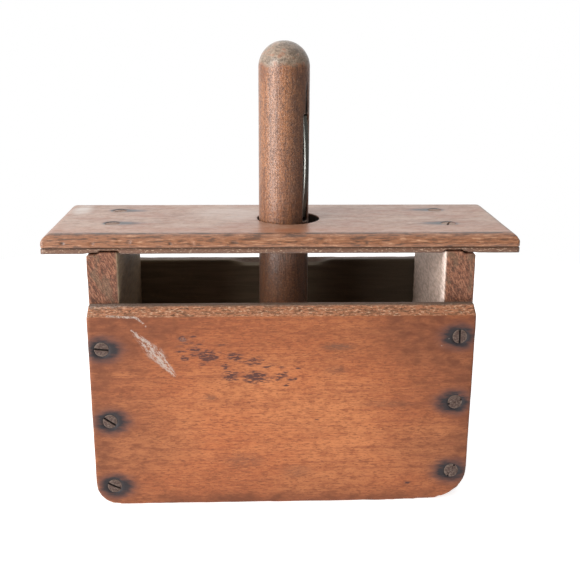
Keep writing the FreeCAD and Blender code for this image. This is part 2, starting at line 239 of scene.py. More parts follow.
def relaxed(points, edges, rounds, share=0.5):
    """The points after each has moved a share of the way to its neighbours' mean."""
    first, second = edges.T
    size = len(points)
    count = np.bincount(edges.ravel(), minlength=size)[:, None]
    for _ in range(rounds):
        total = np.empty_like(points)
        for axis in range(3):
            along_axis = points[:, axis]
            total[:, axis] = np.bincount(first, along_axis[second], size)
            total[:, axis] += np.bincount(second, along_axis[first], size)
        points = points + share * (total / count - points)
    return points


def paint(piece, **masks):
    """Stores masks from 0 to 1 on the piece's points, for its material to read."""
    for name, values in masks.items():
        attribute = piece.data.attributes.new(name, "FLOAT", "POINT")
        attribute.data.foreach_set("value", np.clip(values, 0.0, 1.0).astype(np.float32))


# --- worn wood ---------------------------------------------------------------


def bake_modifiers(piece):
    graph = bpy.context.evaluated_depsgraph_get()
    mesh = bpy.data.meshes.new_from_object(piece.evaluated_get(graph))
    piece.modifiers.clear()
    piece.data = mesh


def remesh(piece, voxel, height=1.0):
    """Cuts a piece into even quads; height makes them that many times lower."""
    piece.data.transform(Matrix.Scale(height, 4, (0.0, 0.0, 1.0)))
    modifier = piece.modifiers.new("even quads", "REMESH")
    modifier.mode = "VOXEL"
    modifier.voxel_size = voxel
    modifier.use_smooth_shade = True
    bake_modifiers(piece)
    piece.data.transform(Matrix.Scale(1.0 / height, 4, (0.0, 0.0, 1.0)))


def new_piece(name, mesh):
    piece = bpy.data.objects.new(name, mesh)
    bpy.context.scene.collection.objects.link(piece)
    return piece


def worn_copy(node, voxel, rounds, seed, height=1.0):
    """A copy of a CAD node in even quads, its edges rubbed round by uneven wear."""
    piece = new_piece(f"worn_{node}", frame["nodes"][node].data.copy())
    piece.data.materials.clear()
    remesh(piece, voxel, height)
    points = points_of(piece)
    # the wear changes slowly along an edge, and a little from place to place
    wear = 0.55 + 0.5 * lattice_noise(points, 14 * MM, seed)
    wear += 0.3 * lattice_noise(points, 4 * MM, seed + 1)
    share = 0.5 * np.clip(wear, 0.12, 1.0)[:, None]
    move_points(piece, relaxed(points, edges_of(piece), rounds, share))
    return piece


def sink(piece, depth, size, seed):
    """Shallow hollows all over: every point moves inwards by up to depth."""
    points = points_of(piece)
    hollow = 0.5 + 0.5 * lattice_noise(points, size, seed)
    move_points(piece, points - normals_of(piece) * (depth * hollow)[:, None])


def press(piece, place, reach, push):
    """One dent: points near a place move by up to push."""
    points = points_of(piece)
    distance = np.linalg.norm((points - np.asarray(place)) / np.asarray(reach), axis=1)
    share = rise(distance, 1.0, 0.0)[:, None]
    move_points(piece, points + share * np.asarray(push))


def paint_edges(piece, reach):
    """Masks of what stands out (edge) and of what lies deep (nook)."""
    points = points_of(piece)
    around = relaxed(points, edges_of(piece), rounds=10)
    standing = ((points - around) * normals_of(piece)).sum(axis=1)
    edge = rise(standing, 0.1 * reach, reach)
    nook = rise(-standing, 0.1 * reach, reach)
    paint(piece, edge=edge, nook=nook)


def iron_halo(points, node, reach, tail):
    """Blue-black stain round a screw, drawn out along the grain.

    It fades away at reach across the grain, tail times as far towards the
    middle of the box, and a little beyond reach towards the end.
    """
    place = np.array(head_place(node))
    away = points - place
    inwards = away[:, 0] * np.sign(place[0]) < 0
    away[:, 0] /= np.where(inwards, tail, 1.2)
    distance = np.linalg.norm(away, axis=1) / reach
    return np.clip(1.25 * np.exp(-((distance / 0.62) ** 2)) - 0.08, 0.0, 1.0)


def all_halos(points, prefix, reach, tail):
    masks = [iron_halo(points, n, reach, tail) for n in SLOT_TURNS if n.startswith(prefix)]
    return np.max(masks, axis=0)


def dark_crescent(points, node):
    """Painted shadow in the gap on the far left side of a plate screw."""
    away = points - np.array(head_place(node))
    radius = np.hypot(away[:, 0], away[:, 1])
    turned_to = (away[:, 1] - 0.7 * away[:, 0]) / np.maximum(radius, 1e-9)
    return band(radius, 4.5 * MM, 0.7 * MM, 1.3 * MM) * rise(turned_to, -0.1, 0.6)


def blot(points, place, radius, axes=(0, 2)):
    """A spot on the face along two axes.  Place and radius are in millimetres."""
    away = points[:, axes] - np.array(place) * MM
    distance = np.linalg.norm(away / (np.array(radius) * MM), axis=1)
    return rise(distance, 1.0, 0.25)


def spots(points, marks):
    return np.max([share * blot(points, place, size) for place, size, share in marks], axis=0)


def stroke(points, start, end, start_width, end_width):
    """A mark on the front face between two places (x, z).  Millimetres."""
    first = np.array(start) * MM
    line = np.array(end) * MM - first
    away = points[:, (0, 2)] - first
    share = np.clip(away @ line / (line @ line), 0.0, 1.0)
    distance = np.linalg.norm(away - share[:, None] * line, axis=1)
    width = (start_width + (end_width - start_width) * share) * MM / 2
    return rise(distance, 1.5 * width, 0.2 * width)


def ink_dashes():
    """Small dashes strewn about the line of the ink blots, in the same form."""
    draw = np.random.default_rng(19)
    start, end = INK_LINE
    marks = []
    for _ in range(INK_DASHES):
        place = start + (end - start) * draw.uniform(0.0, 0.9) + draw.normal(0.0, (2.5, 4.0))
        size = (draw.uniform(1.8, 4.4), draw.uniform(0.6, 1.0))
        marks.append((tuple(place), size, draw.uniform(0.35, 0.9)))
    return tuple(marks)


# --- panels ------------------------------------------------------------------


def rub_bottom(points, seed):
    """Rubs the bottom edge away in a ragged line, most at the right-hand end."""
    x, _, z = points.T
    ragged = 0.7 + 0.3 * lattice_noise(points, (9 * MM, 30 * MM, 30 * MM), seed)
    ragged += 0.3 * lattice_noise(points, (2.5 * MM, 30 * MM, 30 * MM), seed + 1)
    lift = (0.1 + 1.2 * rise(x, 0.3 * PANEL_HIGH.x, PANEL_HIGH.x)) * MM * ragged
    points[:, 2] += lift * rise(z, 14 * MM, 0.0) * rise(z, -1 * MM, 0.5 * MM)


def chamfer_ends(points):
    """Takes a little off where the upper edge meets the ends."""
    x, _, z = points.T
    near_top = rise(z, PANEL_HIGH.z - 7 * MM, PANEL_HIGH.z)
    near_end = rise(np.abs(x), PANEL_HIGH.x - 2.2 * MM, PANEL_HIGH.x)
    points[:, 0] -= np.sign(x) * near_top * near_end * 0.5 * MM


def rub_top(points, outer, seed):
    """Wears the upper outer edge into a soft uneven slope."""
    _, y, z = points.T
    slope = rise(z, PANEL_HIGH.z - 6 * MM, PANEL_HIGH.z - 1 * MM)
    slope *= rise(np.abs(y - outer), 6 * MM, 0.0)
    rub = 0.35 * MM * (0.5 + 0.5 * lattice_noise(points, (7 * MM, 4 * MM, 4 * MM), seed))
    points[:, 2] -= slope * rub
    points[:, 1] -= np.sign(outer) * slope * rub


def panel_shade(points, seed):
    """Dark towards the ends, the top and most of all the bottom edge, in clouds."""
    x, _, z = points.T
    end, top = PANEL_HIGH.x, PANEL_HIGH.z
    to_bottom = 0.35 * rise(z, 40 * MM, 4 * MM)
    uneven = 0.5 + 0.5 * lattice_noise(points, 12 * MM, seed)
    to_bottom += rise(z, 11 * MM, 1 * MM) * uneven
    to_ends = 0.55 * rise(np.abs(x), 0.3 * end, 0.8 * end)
    to_ends += 0.35 * rise(np.abs(x), end - 18 * MM, end - 2 * MM)
    to_top = 0.45 * rise(z, 0.5 * top, 0.95 * top)
    to_top += 0.2 * rise(x, 0.3 * end, 0.9 * end) * rise(z, 0.6 * top, 0.9 * top)
    cloud = 0.15 * lattice_noise(points, (30 * MM, 30 * MM, 16 * MM), seed + 1)
    return np.maximum(to_ends + to_top + cloud, to_bottom)


def make_panel(node, outer, seed):
    """A low panel whose outer face is at y = outer."""
    piece = worn_copy(node, 0.8 * MM, rounds=4, seed=seed)
    points = points_of(piece)
    rub_bottom(points, seed + 2)
    chamfer_ends(points)
    rub_top(points, outer, seed + 4)
    move_points(piece, points)
    sink(piece, 0.12 * MM, (30 * MM, 30 * MM, 9 * MM), seed + 5)

    paint_edges(piece, 0.5 * MM)
    points = points_of(piece)
    _, y, z = points.T
    below_top = PANEL_HIGH.z - z
    below_face = abs(outer) - np.abs(y)
    outside = rise(below_face, 9 * MM, 7 * MM)
    paint(
        piece,
        iron=all_halos(points, node.split("_")[0], reach=12.5 * MM, tail=1.5) * outside,
        shade=panel_shade(points, seed + 6),
        top_face=rise(below_top, 0.9 * MM, 0.2 * MM),
        bevel=rise(below_top, BEVEL + 0.8 * MM, BEVEL - 0.1 * MM) * outside,
        inside=rise(below_face, 8.2 * MM, 9.4 * MM),
    )
    return piece


def front_chalk(points, face):
    """The pale marks: a long scrape, a scratch, scuffs and the rubbed left bevel."""
    below_top = PANEL_HIGH.z - points[:, 2]
    strokes = (
        stroke(points, (-83.5, 107.5), (-71.0, 94.0), 1.6, 9.5),
        stroke(points, (-71.0, 94.0), (-60.5, 80.5), 9.5, 2.4),
        stroke(points, (-97.0, 115.6), (-81.0, 114.8), 1.0, 1.5),
        stroke(points, (-81.0, 114.8), (-76.8, 111.6), 1.5, 1.0),
        spots(points, SCUFFS),
    )
    bevel = rise(below_top, BEVEL + 0.5 * MM, BEVEL - 0.5 * MM)
    rubbed = 0.32 * rise(below_top, 2.4 * MM, 0.4 * MM)
    rubbed += 0.24 * bevel * rise(points[:, 0], -72 * MM, -96 * MM)
    return np.maximum(np.max(strokes, axis=0) * face, rubbed)


def make_front_panel():
    piece = make_panel("front_panel", PANEL_LOW.y, seed=11)
    points = points_of(piece)
    face = rise(points[:, 1], PANEL_LOW.y + 6 * MM, PANEL_LOW.y + 3 * MM)
    crack = 0.8 * stroke(points, (101.0, 66.8), (109.0, 67.4), 0.9, 0.7)
    paint(
        piece,
        ink=np.maximum(spots(points, INK_BLOTS + ink_dashes()), crack) * face,
        smudge=spots(points, SMUDGES) * face,
        chalk=front_chalk(points, face),
    )
    return piece


def make_back_panel():
    piece = make_panel("back_panel", BACK_HIGH.y, seed=31)
    # a long hollow is worn in the inner upper edge, behind the rod
    points = points_of(piece)
    x, y, z = points.T
    hollow = band(x, ROD_AXIS[0], 22 * MM, 36 * MM)
    hollow *= rise(z, BACK_HIGH.z - 5 * MM, BACK_HIGH.z)
    hollow *= rise(y, BACK_LOW.y + 7 * MM, BACK_LOW.y)
    points[:, 2] -= 2.6 * MM * hollow
    points[:, 1] += 1.6 * MM * hollow
    move_points(piece, points)
    # painted shade on the back panel's inner face, darker towards the right
    near_inside = rise(points[:, 1], BACK_LOW.y + 4.75 * MM, BACK_LOW.y + 1.75 * MM)
    paint(piece, soot=rise(points[:, 0], -30 * MM, 60 * MM) * near_inside)
    return piece


# --- end boards --------------------------------------------------------------


def make_end_board(node, seed, grease, bleach):
    """An end board; grease and bleach are how dark and how pale its inner face is."""
    low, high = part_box(node)
    piece = worn_copy(node, 0.8 * MM, rounds=5, seed=seed)
    sink(piece, 0.3 * MM, (3 * MM, 9 * MM, 5 * MM), seed + 2)
    paint_edges(piece, 0.5 * MM)
    points = points_of(piece)
    x, y, z = points.T
    inner_face = min(abs(low.x), abs(high.x))
    inside = rise(np.abs(x), inner_face + 1.4 * MM, inner_face + 0.5 * MM)
    # fingers and light have bleached it above the panels, most at the front
    ragged = 2.5 * MM * lattice_noise(points, (9 * MM, 9 * MM, 6 * MM), seed + 3)
    at_front = rise(y + ragged, low.y + 10 * MM, low.y + 5 * MM) * rise(z, 100 * MM, 120 * MM)
    behind_panels = rise(z, PANEL_HIGH.z - 1 * MM, PANEL_HIGH.z - 6 * MM)
    paint(
        piece,
        end_grain=rise(np.minimum(y - low.y, high.y - y), 2.0 * MM, 0.8 * MM),
        inside=inside * grease,
        bleached=(0.6 + 0.4 * at_front) * inside * bleach,
        shade=0.3 * behind_panels + 0.5 * rise(z, 18 * MM, 0.0),
    )
    return piece


# --- top plate ---------------------------------------------------------------


def rim_of(points):
    """Distance of points in from the plate's nearest edge."""
    from_end = PLATE_HIGH.x - np.abs(points[:, 0])
    from_side = np.minimum(points[:, 1] - PLATE_LOW.y, PLATE_HIGH.y - points[:, 1])
    return np.minimum(from_end, from_side)


def round_corners(points, radius):
    """Rubs the plate's corners round in plan."""
    x, y, _ = points.T
    from_end = PLATE_HIGH.x - np.abs(x)
    from_side = PLATE_HIGH.y - np.abs(y)
    corner = np.stack((radius - from_end, radius - from_side), axis=1)
    reach = np.linalg.norm(corner, axis=1)
    at_corner = (corner > 0.0).all(axis=1) & (reach > radius)
    back = corner * (1.0 - radius / np.maximum(reach, 1e-9))[:, None]
    points[:, 0] -= np.where(at_corner, np.sign(x) * back[:, 0], 0.0)
    points[:, 1] -= np.where(at_corner, np.sign(y) * back[:, 1], 0.0)


def splinter_lip(piece, seed):
    """Breaks the front lip away in splinters over the end boards' tongues."""
    points = points_of(piece)
    x, y, z = points.T
    lip = rise(z, LIP_TOP + 0.6 * MM, LIP_TOP - 0.4 * MM)
    lip *= rise(y, PLATE_LOW.y + 7 * MM, PLATE_LOW.y + 4 * MM)
    splinter = 0.5 + 0.5 * lattice_noise(points, (3 * MM, 6 * MM, 6 * MM), seed)
    for board in ("left_end_board", "right_end_board"):
        low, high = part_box(board)
        near = band(x, (low.x + high.x) / 2, 6 * MM, 11 * MM)
        points[:, 2] += 1.3 * MM * lip * near * splinter
    move_points(piece, points)


def dent_bead(piece):
    for x, height, width, depth in BEAD_DENTS:
        place = (x * MM, PLATE_LOW.y + 0.5 * MM, PLATE_LOW.z + height * MM)
        reach = (width * MM, 3 * MM, 1.2 * MM)
        press(piece, place, reach, push=(0.0, depth * MM, 0.0))


def plate_grime(points):
    """Dirt along the front arris, in a smear behind its left half and in the dents."""
    x, y, z = points.T
    from_front = y - PLATE_LOW.y
    line = 0.9 * band(from_front, 4.6 * MM, 0.5 * MM, 1.3 * MM)
    smear = 0.5 * band(from_front, 5.8 * MM, 0.4 * MM, 1.8 * MM)
    smear *= band(x, -85 * MM, 20 * MM, 55 * MM)
    arris = (line + smear) * rise(z, PLATE_LOW.z + 6 * MM, PLATE_LOW.z + 8 * MM)
    foot = PLATE_LOW.z / MM
    marks = [((place, foot + height), (width, 1.1), 0.9) for place, height, width, _ in BEAD_DENTS]
    dents = spots(points, marks) * rise(from_front, 6 * MM, 4 * MM)
    return np.maximum(arris, dents)


def paint_plate(piece):
    points = points_of(piece)
    x, y, z = points.T
    rim = rim_of(points)
    below_top = PLATE_HIGH.z - z
    from_hole = np.hypot(x - HOLE_X, y) - HOLE_RADIUS
    # painted shadow in the gaps round the plate screws
    crescents = [dark_crescent(points, node) for node in SLOT_TURNS if node.startswith("plate")]
    left_scuff = blot(points, (-122.0, 24.0), (9.0, 20.0), axes=(0, 1))
    middle_scuff = blot(points, (-30.0, 12.0), (34.0, 30.0), axes=(0, 1))
    middle = 0.6 + 0.4 * rise(np.abs(x), 60 * MM, 20 * MM)
    paint(
        piece,
        iron=all_halos(points, "plate", reach=7.5 * MM, tail=3.4) * rise(below_top, 2 * MM, 0.0),
        quirk=band(z, QUIRK_MIDDLE, 0.3 * MM, 0.75 * MM) * rise(rim, 2.4 * MM, 1.2 * MM),
        lip=rise(z, LIP_TOP + 0.6 * MM, LIP_TOP) * rise(rim, 3 * MM, 1.5 * MM),
        arris=plate_grime(points),
        scuff=np.maximum(0.9 * left_scuff, 0.5 * middle_scuff),
        crescent=np.max(crescents, axis=0) * rise(below_top, 2 * MM, 0.6 * MM),
        side=rise(below_top, 0.25 * MM, 0.8 * MM),
        # painted shade on the wall of the hole
        inside=rise(from_hole, 1.5 * MM, 0.6 * MM) * rise(below_top, 0.0, 1.5 * MM),
        underside=rise(z, PLATE_LOW.z + 1.2 * MM, PLATE_LOW.z + 0.2 * MM),
        warm=rise(y - PLATE_LOW.y, 30 * MM, 8 * MM) * middle,
    )


def make_plate():
    piece = worn_copy("top_plate", 0.6 * MM, rounds=3, seed=71, height=2.0)
    points = points_of(piece)
    rim = rim_of(points)
    round_corners(points, 2.4 * MM)
    # a few shallow nicks along the bead
    nick = rise(lattice_noise(points, (5 * MM, 5 * MM, 2 * MM), 75), 0.5, 0.95)
    nick *= rise(rim, 6 * MM, 1 * MM)
    nick *= rise(points[:, 2], PLATE_LOW.z + 4 * MM, PLATE_LOW.z + 5 * MM)
    move_points(piece, points - normals_of(piece) * (0.25 * MM * nick)[:, None])
    splinter_lip(piece, seed=76)
    dent_bead(piece)
    sink(piece, 0.1 * MM, (40 * MM, 15 * MM, 15 * MM), 77)
    paint_edges(piece, 0.35 * MM)
    paint_plate(piece)
    return piece


# --- plunger -----------------------------------------------------------------


def make_rod():
    piece = worn_copy("plunger_rod", 0.5 * MM, rounds=3, seed=91)
    # the hand has worn fine hollows between the hard rays of the wood
    sink(piece, 0.1 * MM, (1.1 * MM, 1.1 * MM, 1.6 * MM), 93)
    paint_edges(piece, 0.3 * MM)
    points = points_of(piece)
    z = points[:, 2]
    off_axis = points - ROD_AXIS
    radius = np.hypot(off_axis[:, 0], off_axis[:, 1])
    outwards = off_axis @ SLOT_OUTWARDS / np.maximum(radius, 1e-9)
    sideways = off_axis @ SLOT_SIDEWAYS / np.maximum(radius, 1e-9)
    ragged = 1.5 * MM * lattice_noise(points, 6 * MM, 95)

    # painted shade on the slot's walls and floor and in the saw kerf, narrower the higher it goes
    in_slot = rise(radius, 14.4 * MM, 13.4 * MM) * rise(z, SLOT_BOTTOM - 3 * MM, SLOT_BOTTOM)
    in_slot *= rise(z, KERF_TOP + 0.5 * MM, KERF_TOP - 0.5 * MM)
    kerf_width = 1.9 * MM - 0.9 * MM * rise(z, SLOT_TOP, KERF_TOP)
    kerf = rise(np.abs(off_axis @ SLOT_SIDEWAYS), kerf_width, 0.6 * kerf_width)
    kerf *= rise(outwards, 0.0, 0.5)
    kerf *= rise(z, SLOT_TOP - 2 * MM, SLOT_TOP) * rise(z, KERF_TOP + 3 * MM, KERF_TOP - 3 * MM)

    # painted shade: the rod's side by the slot, turned away from the key light, and the rod below
    # the plate, as in its shadow, are painted darker
    beside_slot = 0.75 * rise(outwards, 0.45, 0.85) * rise(sideways, 0.4, 0.1)
    beside_slot *= rise(z, ROD_HIGH.z - 8 * MM, ROD_HIGH.z - 20 * MM)
    under_plate = 0.6 * rise(z, PLATE_LOW.z + 2 * MM, PLATE_LOW.z - 12 * MM)
    paint(
        piece,
        dome=rise(z + ragged, ROD_HIGH.z - 15 * MM, ROD_HIGH.z - 11.5 * MM),
        inside=np.maximum(in_slot, kerf),
        shade=np.maximum(beside_slot, under_plate),
    )
    return piece


def make_follower():
    piece = worn_copy("follower_board", 1.0 * MM, rounds=4, seed=111)
    sink(piece, 0.15 * MM, (30 * MM, 8 * MM, 8 * MM), 113)
    paint_edges(piece, 0.5 * MM)
    cloud = lattice_noise(points_of(piece), (50 * MM, 14 * MM, 14 * MM), 115)
    paint(piece, shade=0.5 + 0.5 * cloud)
    return piece


def make_spring():
    piece = worn_copy("bow_spring", 0.16 * MM, rounds=2, seed=131)
    # the strip's side edges are painted near white: worn bright steel and a painted highlight
    across = (points_of(piece) - ROD_AXIS) @ SLOT_SIDEWAYS
    paint(piece, edge=rise(np.abs(across), 1.85 * MM, 2.15 * MM))
    return piece


# --- screws ------------------------------------------------------------------

SCREW_LENGTH = 31.75 * MM
HEAD_RADIUS = 4.2 * MM
HEAD_RIM = 0.25 * MM
HEAD_CONE = 2.42 * MM
HEAD_CROWN = 0.22 * MM
SHANK_RADIUS = 2.1 * MM
SHANK_LENGTH = 11.0 * MM
CORE_RADIUS = 1.5 * MM
THREAD_PITCH = 1.7 * MM
POINT_LENGTH = 5.0 * MM
DRIVER_SLOT = (9.4 * MM, 0.9 * MM, 2.2 * MM)
SCREW_STEPS = 32


def screw_radius(depth, turn):
    """Radius of the screw below its head; turn is the angle as a share of 1."""
    if depth < HEAD_RIM:
        return HEAD_RADIUS
    if depth < HEAD_RIM + HEAD_CONE:
        share = (depth - HEAD_RIM) / HEAD_CONE
        return HEAD_RADIUS + (SHANK_RADIUS - HEAD_RADIUS) * share
    if depth < SHANK_LENGTH:
        return SHANK_RADIUS
    phase = (depth / THREAD_PITCH - turn) % 1.0
    crest = max(0.0, 1.0 - abs(phase - 0.5) / 0.36)
    radius = CORE_RADIUS + (SHANK_RADIUS - CORE_RADIUS) * crest
    return radius * min(1.0, (SCREW_LENGTH - depth) / POINT_LENGTH + 0.04)


def screw_ring(mesh, depth):
    """One ring of points round the screw, at a depth below its head."""
    ring = []
    for step in range(SCREW_STEPS):
        turn = step / SCREW_STEPS
        angle = 2.0 * math.pi * turn
        radius = screw_radius(depth, turn)
        place = (radius * math.cos(angle), radius * math.sin(angle), -depth)
        ring.append(mesh.verts.new(place))
    return ring


def screw_blank():
    """A turned screw with a helical thread and no driver slot; +Z is out."""
    depths = [0.0, HEAD_RIM, HEAD_RIM + HEAD_CONE]
    depths += list(np.arange(SHANK_LENGTH, SCREW_LENGTH, THREAD_PITCH / 8))
    depths.append(SCREW_LENGTH)
    mesh = bmesh.new()
    rings = [screw_ring(mesh, depth) for depth in depths]
    for upper, lower in zip(rings, rings[1:]):
        for step in range(SCREW_STEPS):
            after = (step + 1) % SCREW_STEPS
            mesh.faces.new((upper[step], lower[step], lower[after], upper[after]))
    mesh.faces.new(rings[0])
    mesh.faces.new(list(reversed(rings[-1])))
    bmesh.ops.recalc_face_normals(mesh, faces=mesh.faces)
    return mesh


def piece_from(mesh, name):
    """A piece made from a bmesh, which it uses up."""
    data = bpy.data.meshes.new(name)
    mesh.to_mesh(data)
    mesh.free()
    return new_piece(name, data)


def slotted_screw():
    """The mesh of one new screw, with its slot sawn along X."""
    piece = piece_from(screw_blank(), "screw_pattern")
    block = bmesh.new()
    bmesh.ops.create_cube(block, size=1.0, matrix=Matrix.Diagonal((*DRIVER_SLOT, 1.0)))
    saw = piece_from(block, "saw")

    cut = piece.modifiers.new("slot", "BOOLEAN")
    cut.operation = "DIFFERENCE"
    cut.object = saw
    bake_modifiers(piece)
    remesh(piece, 0.2 * MM)
    finished = piece.data
    bpy.data.objects.remove(piece)
    bpy.data.objects.remove(saw)
    return finished


def make_screw(node, pattern, seed):
    """A worn screw in the place of a CAD screw, its head pitted by rust."""
    kind = node.split("_")[0]
    piece = new_piece(f"worn_{node}", pattern.copy())
    points = relaxed(points_of(piece), edges_of(piece), rounds=3)

    # the head is slightly crowned
    radius = np.hypot(points[:, 0], points[:, 1])
    head = rise(points[:, 2], -1.2 * MM, -0.2 * MM)
    points[:, 2] -= head * HEAD_CROWN * (radius / HEAD_RADIUS) ** 2
    if node in PACKED_SLOTS:
        dirt_level = -0.3 * MM + 0.12 * MM * lattice_noise(points, 0.8 * MM, seed + 3)
        in_slot = (points[:, 2] < dirt_level) & (points[:, 2] > -1.3 * MM)
        in_slot &= radius < HEAD_RADIUS - 0.35 * MM
        points[:, 2] = np.where(in_slot, dirt_level, points[:, 2])
    pits = lattice_noise(points + seed, 0.9 * MM, seed)
    pits += 0.6 * lattice_noise(points, 0.4 * MM, seed + 1)
    points[:, 2] -= head * 0.05 * MM * np.clip(pits + 0.3, 0.0, None)
    # dark in the driver slot below the head's face: dirt and painted shade
    dirt = rise(points[:, 2], -0.25 * MM, -0.7 * MM) * rise(radius, HEAD_RADIUS, 0.8 * HEAD_RADIUS)
    rim = rise(radius, HEAD_RADIUS - 0.9 * MM, HEAD_RADIUS)

    turn = Matrix.Rotation(math.radians(SLOT_TURNS[node]), 3, "Z")
    placing = np.array(HEADS_OUT[kind] @ turn)
    move_points(piece, points @ placing.T + np.array(head_place(node)))
    # the plate screws' heads are painted pale: a painted sheen
    polish = head if kind == "plate" else np.zeros(len(points))
    paint(piece, dirt=dirt, rim=rim * head, polish=polish)
    piece.data.shade_smooth()
    return piece


# --- materials ---------------------------------------------------------------


def linear(tone):
    """A colour as it looks on a screen, 0 to 255, in the form that sockets take."""
    values = []
    for value in tone:
        share = value / 255.0
        values.append(share / 12.92 if share < 0.04045 else ((share + 0.055) / 1.055) ** 2.4)
    return (*values, 1.0)


class Shader:
    """Adds nodes to one material.  A tone is a colour, or a socket that gives one."""

    def __init__(self, name):
        self.material = bpy.data.materials.new(name)
        self.material.use_nodes = True
        self.tree = self.material.node_tree
        self.tree.nodes.clear()
        self.place = self.node("TexCoord").outputs["Object"]

    def node(self, kind, inputs=None, **settings):
        node = self.tree.nodes.new(f"ShaderNode{kind}")
        for name, setting in settings.items():
            setattr(node, name, setting)
        for name, value in (inputs or {}).items():
            if isinstance(value, bpy.types.NodeSocket):
                self.tree.links.new(value, node.inputs[name])
            else:
                node.inputs[name].default_value = value
        return node

    def noise(self, size, detail=2.0, roughness=0.55, shift=0.0, tilt=0.0):
        """Noise from 0 to 1 whose marks measure size (x, y, z), in millimetres.

        shift moves it to other values, and tilt turns it about Y, in radians.
        """
        turned = self.node(
            "VectorRotate",
            {"Vector": self.place, "Rotation": (0.0, tilt, 0.0)},
            rotation_type="EULER_XYZ",
        )
        scale = tuple(1.0 / (length * MM) for length in size)
        mapping = self.node(
            "Mapping", {"Vector": turned.outputs[0], "Location": (shift,) * 3, "Scale": scale}
        )
        inputs = {"Vector": mapping.outputs[0], "Scale": 1.0, "Detail": detail}
        inputs["Roughness"] = roughness
        return self.node("TexNoise", inputs).outputs["Fac"]

    def ramp(self, value, low, high, first=0.0, last=1.0):
        """Goes smoothly from first to last while the value goes from low to high."""
        inputs = {"Value": value, "From Min": low, "From Max": high}
        inputs.update({"To Min": first, "To Max": last})
        return self.node("MapRange", inputs, interpolation_type="SMOOTHSTEP").outputs[0]

    def combine(self, operation, first, second):
        node = self.node("Math", {0: first, 1: second}, operation=operation, use_clamp=True)
        return node.outputs[0]

    def times(self, first, second):
        return self.combine("MULTIPLY", first, second)

    def mask(self, name):
        """A mask that was painted on the piece's points."""
        return self.node("Attribute", attribute_name=name).outputs["Fac"]

    def tint(self, base, over, share):
        """A share of one tone mixed over another."""
        base, over = (linear(tone) if isinstance(tone, tuple) else tone for tone in (base, over))
        return self.node("Mix", {0: share, 6: base, 7: over}, data_type="RGBA").outputs[2]

    def fleck(self, base, over, texture, low, high, strength=1.0):
        """A tone where a texture goes from low to high, up to a strength."""
        return self.tint(base, over, self.ramp(texture, low, high, 0.0, strength))

    def cover(self, base, over, name, strength=1.0):
        """A tone where a mask is painted, up to a strength."""
        return self.tint(base, over, self.times(self.mask(name), strength))

    def patchy(self, mask, texture, edge):
        """A mask whose border is broken up by a texture."""
        lifted = self.times(mask, self.ramp(texture, 0.3, 0.7, 0.35, 1.5))
        return self.ramp(lifted, edge - 0.35, edge + 0.35)

    def finish(self, base, roughness, height, bump, **sockets):
        """Closes the material: principled surface with a bump, its depth in mm."""
        relief = self.node("Bump", {"Height": height, "Strength": 1.0, "Distance": bump * MM})
        inputs = {"Base Color": base, "Roughness": roughness, "Normal": relief.outputs[0]}
        inputs.update(sockets)
        surface = self.node("BsdfPrincipled", inputs)
        self.node("OutputMaterial", {"Surface": surface.outputs[0]})
        return self.material


def along(axis, length, width):
    """Size of a mark that is stretched along the grain."""
    size = [width, width, width]
    size["XYZ".index(axis)] = length
    return tuple(size)


def old_wood(name, axis, tones, figure, pores, roughness, bump, sockets, marks=None):
    """Old varnished wood.

    axis is the grain's; tones are main, light, deep, pore and shade colours; figure is
    how strongly the fine grain shows, 0 to 1; pores is (length, width, strength) of the
    dark pores; sockets are further values of the surface shader.  marks takes the
    shader and the colour so far, and paints over it what only this piece has.
    """
    shader = Shader(name)
    main, light, deep, pore, shadow = tones
    pore_length, pore_width, pore_strength = pores
    broad = shader.noise(along(axis, 95.0, 38.0), detail=3.0)
    streaks = shader.noise(along(axis, 60.0, 2.6), detail=4.0, shift=3.0)
    fibre = shader.noise(along(axis, 11.0, 0.75), detail=3.0, roughness=0.65, shift=7.0)
    curl = shader.noise(along(axis, 2.4, 0.8), detail=3.0, roughness=0.6, shift=13.0)
    mottle = shader.noise(along(axis, 7.0, 3.5), detail=3.0, shift=11.0)
    pits = shader.noise(along(axis, pore_length, pore_width), roughness=0.6, shift=17.0)

    base = main
    for tone, texture, low, high, strength in (
        (light, broad, 0.4, 0.62, 1.0),
        (deep, streaks, 0.5, 0.66, 0.65),
        (deep, mottle, 0.52, 0.66, 0.5),
        (light, fibre, 0.52, 0.64, figure),
        (deep, fibre, 0.48, 0.36, figure),
        (deep, curl, 0.5, 0.62, figure),
        (light, curl, 0.47, 0.36, figure),
    ):
        base = shader.fleck(base, tone, texture, low, high, strength)
    open_pores = shader.ramp(pits, 0.54, 0.64, 0.0, pore_strength)
    base = shader.tint(base, pore, open_pores)
    uneven = shader.ramp(mottle, 0.3, 0.7, 0.65, 1.0)
    base = shader.cover(base, shadow, "shade", uneven)
    if marks:
        base = marks(shader, base)
    ridges = shader.ramp(fibre, 0.2, 0.8, 0.4, 0.8)
    height = shader.combine("SUBTRACT", ridges, shader.times(open_pores, 0.4))
    gloss = shader.ramp(mottle, 0.35, 0.7, *roughness)
    gloss = shader.combine("ADD", gloss, shader.times(open_pores, 0.25))
    return shader.finish(base, gloss, height, bump, **sockets)


def iron_stain(shader, base):
    """Wood blackened by the tannin round rusting screws."""
    texture = shader.noise((7.0, 7.0, 2.2), detail=4.0, shift=23.0)
    stain = shader.times(shader.mask("iron"), shader.ramp(texture, 0.3, 0.7, 0.75, 1.15))
    base = shader.fleck(base, (98, 62, 52), stain, 0.02, 0.5, 0.85)
    return shader.fleck(base, (44, 38, 40), stain, 0.28, 0.8)


